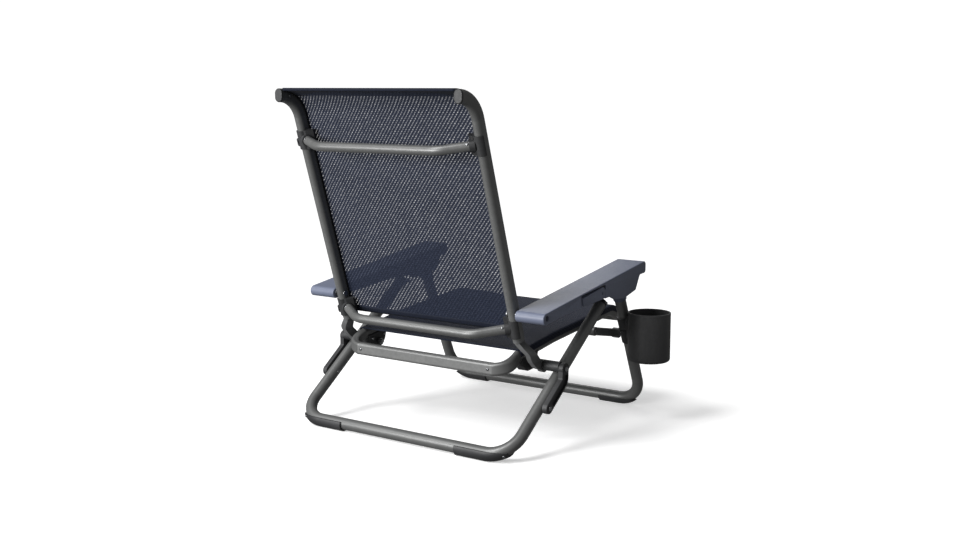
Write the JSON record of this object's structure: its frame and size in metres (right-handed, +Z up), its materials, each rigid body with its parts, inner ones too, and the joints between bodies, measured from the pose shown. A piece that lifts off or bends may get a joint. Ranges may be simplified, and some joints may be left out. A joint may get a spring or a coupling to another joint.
{
  "type": "folding reclining beach chair",
  "caption": "Low folding beach chair with a reclining mesh sling back, moulded armrests with recline levers, U-shaped tube legs and a side cup holder.",
  "frame": {"origin": "on the floor, midway between the four feet, on the chair's centre plane", "axes": "+Z up, +X towards the sitter's left, -Y the way the chair faces"},
  "size_m": [0.7925, 0.7808, 0.8278],
  "materials": {
    "frame_tube": "satin grey powder coat on tube",
    "cast_arm": "satin grey coated casting",
    "black_plastic": "matt moulded",
    "navy_plastic": "fine moulded grain",
    "bright_metal": "zinc plated",
    "mesh_fabric": "open woven coated mesh"
  },
  "bodies": {
    "seat_frame": {"seat_rail_left": "frame_tube", "seat_rail_right": "frame_tube", "seat_rear_bar": "frame_tube", "seat_front_bar": "frame_tube", "seat_corner_left": "frame_tube", "seat_corner_right": "frame_tube", "seat_front_corners": "black_plastic", "seat_sling": "mesh_fabric", "pivot_bracket_left": "black_plastic", "pivot_bracket_right": "black_plastic", "front_leg_arm_left": "cast_arm", "front_leg_arm_right": "cast_arm", "front_leg_pins": "bright_metal", "seat_rivets": "bright_metal"},
    "main_hinge": {"hinge_pins": "bright_metal", "hinge_spacers": "black_plastic"},
    "back": {"back_rail_left": "frame_tube", "back_rail_right": "frame_tube", "rail_end_plug_left": "black_plastic", "rail_end_plug_right": "black_plastic", "upper_crossbar": "frame_tube", "lower_crossbar": "frame_tube", "upper_clamp_left": "black_plastic", "upper_clamp_right": "black_plastic", "lower_clamp_left": "black_plastic", "lower_clamp_right": "black_plastic", "hinge_arm_left": "cast_arm", "hinge_arm_right": "cast_arm", "back_sling": "mesh_fabric", "strap_loops": "black_plastic", "back_rivets": "bright_metal"},
    "link_left": {"link_left": "black_plastic"},
    "link_right": {"link_right": "black_plastic"},
    "rear_legs": {"rear_leg_tube": "frame_tube", "rear_foot_left": "black_plastic", "rear_foot_right": "black_plastic", "rear_leg_caps": "black_plastic", "notch_pins": "bright_metal", "link_rivets": "bright_metal", "foot_rivets": "bright_metal"},
    "front_legs": {"front_leg_tube": "frame_tube", "front_foot_left": "black_plastic", "front_foot_right": "black_plastic", "front_collars": "black_plastic", "front_leg_sleeves": "navy_plastic", "cup_clip": "black_plastic"},
    "arm_pin_left": {"arm_pin_left": "bright_metal"},
    "arm_pin_right": {"arm_pin_right": "bright_metal"},
    "armrest_left": {"armrest_left": "navy_plastic", "notch_rack_left": "black_plastic", "lever_pin_left": "bright_metal"},
    "armrest_right": {"armrest_right": "navy_plastic", "notch_rack_right": "black_plastic", "lever_pin_right": "bright_metal"},
    "lever_left": {"recline_lever_left": "navy_plastic"},
    "lever_right": {"recline_lever_right": "navy_plastic"},
    "cup_holder": {"cup_body": "black_plastic"}
  },
  "joints": [
    {"name": "fold", "type": "hinge", "parent": "seat_frame", "child": "main_hinge", "pos_m": [0, 0.123, 0.187], "axis": [1, 0, 0], "range_deg": [0, 91]},
    {"name": "recline", "type": "hinge", "parent": "main_hinge", "child": "back", "pos_m": [0, 0.123, 0.187], "axis": [-1, 0, 0], "range_deg": [0, 25]},
    {"name": "left_link_turn", "type": "hinge", "parent": "seat_frame", "child": "link_left", "pos_m": [0.3365, 0.123, 0.187], "axis": [1, 0, 0], "range_deg": [0, 12.5]},
    {"name": "right_link_turn", "type": "hinge", "parent": "seat_frame", "child": "link_right", "pos_m": [-0.3365, 0.123, 0.187], "axis": [1, 0, 0], "range_deg": [0, 12.5]},
    {"name": "rear_legs_turn", "type": "hinge", "parent": "link_left", "child": "rear_legs", "pos_m": [0.314, 0.1915, 0.1074], "axis": [1, 0, 0], "range_deg": [0, 8.5]},
    {"name": "front_legs_turn", "type": "hinge", "parent": "seat_frame", "child": "front_legs", "pos_m": [0, -0.2315, 0.207], "axis": [1, 0, 0], "range_deg": [0, 101]},
    {"name": "left_arm_pin_turn", "type": "hinge", "parent": "back", "child": "arm_pin_left", "pos_m": [0.26, 0.2197, 0.3208], "axis": [1, 0, 0], "range_deg": [0, 19]},
    {"name": "right_arm_pin_turn", "type": "hinge", "parent": "back", "child": "arm_pin_right", "pos_m": [-0.26, 0.2197, 0.3208], "axis": [1, 0, 0], "range_deg": [0, 19]},
    {"name": "left_armrest_turn", "type": "hinge", "parent": "arm_pin_left", "child": "armrest_left", "pos_m": [0.313, 0.2197, 0.3208], "axis": [1, 0, 0], "range_deg": [-97, 0]},
    {"name": "right_armrest_turn", "type": "hinge", "parent": "arm_pin_right", "child": "armrest_right", "pos_m": [-0.313, 0.2197, 0.3208], "axis": [1, 0, 0], "range_deg": [-97, 0]},
    {"name": "left_lever_press", "type": "hinge", "parent": "armrest_left", "child": "lever_left", "pos_m": [0.347, -0.022, 0.345], "axis": [1, 0, 0], "range_deg": [0, 3.5], "stiffness_Nm_per_rad": 0.3},
    {"name": "right_lever_press", "type": "hinge", "parent": "armrest_right", "child": "lever_right", "pos_m": [-0.347, -0.022, 0.345], "axis": [1, 0, 0], "range_deg": [0, 3.5], "stiffness_Nm_per_rad": 0.3},
    {"name": "cup_slide", "type": "slide", "parent": "front_legs", "child": "cup_holder", "axis": [0, 0, 1], "range_m": [0, 0.034]}
  ],
  "couplings": [
    {"joint": "left_link_turn", "follows": "fold", "ratio": 0.13187},
    {"joint": "right_link_turn", "follows": "fold", "ratio": 0.13187},
    {"joint": "rear_legs_turn", "follows": "fold", "ratio": 0.087912},
    {"joint": "front_legs_turn", "follows": "fold", "ratio": 1.0989},
    {"joint": "left_armrest_turn", "follows": "fold", "ratio": -1.0549},
    {"joint": "right_armrest_turn", "follows": "fold", "ratio": -1.0549},
    {"joint": "left_arm_pin_turn", "follows": "recline", "ratio": 0.74},
    {"joint": "right_arm_pin_turn", "follows": "recline", "ratio": 0.74}
  ]
}
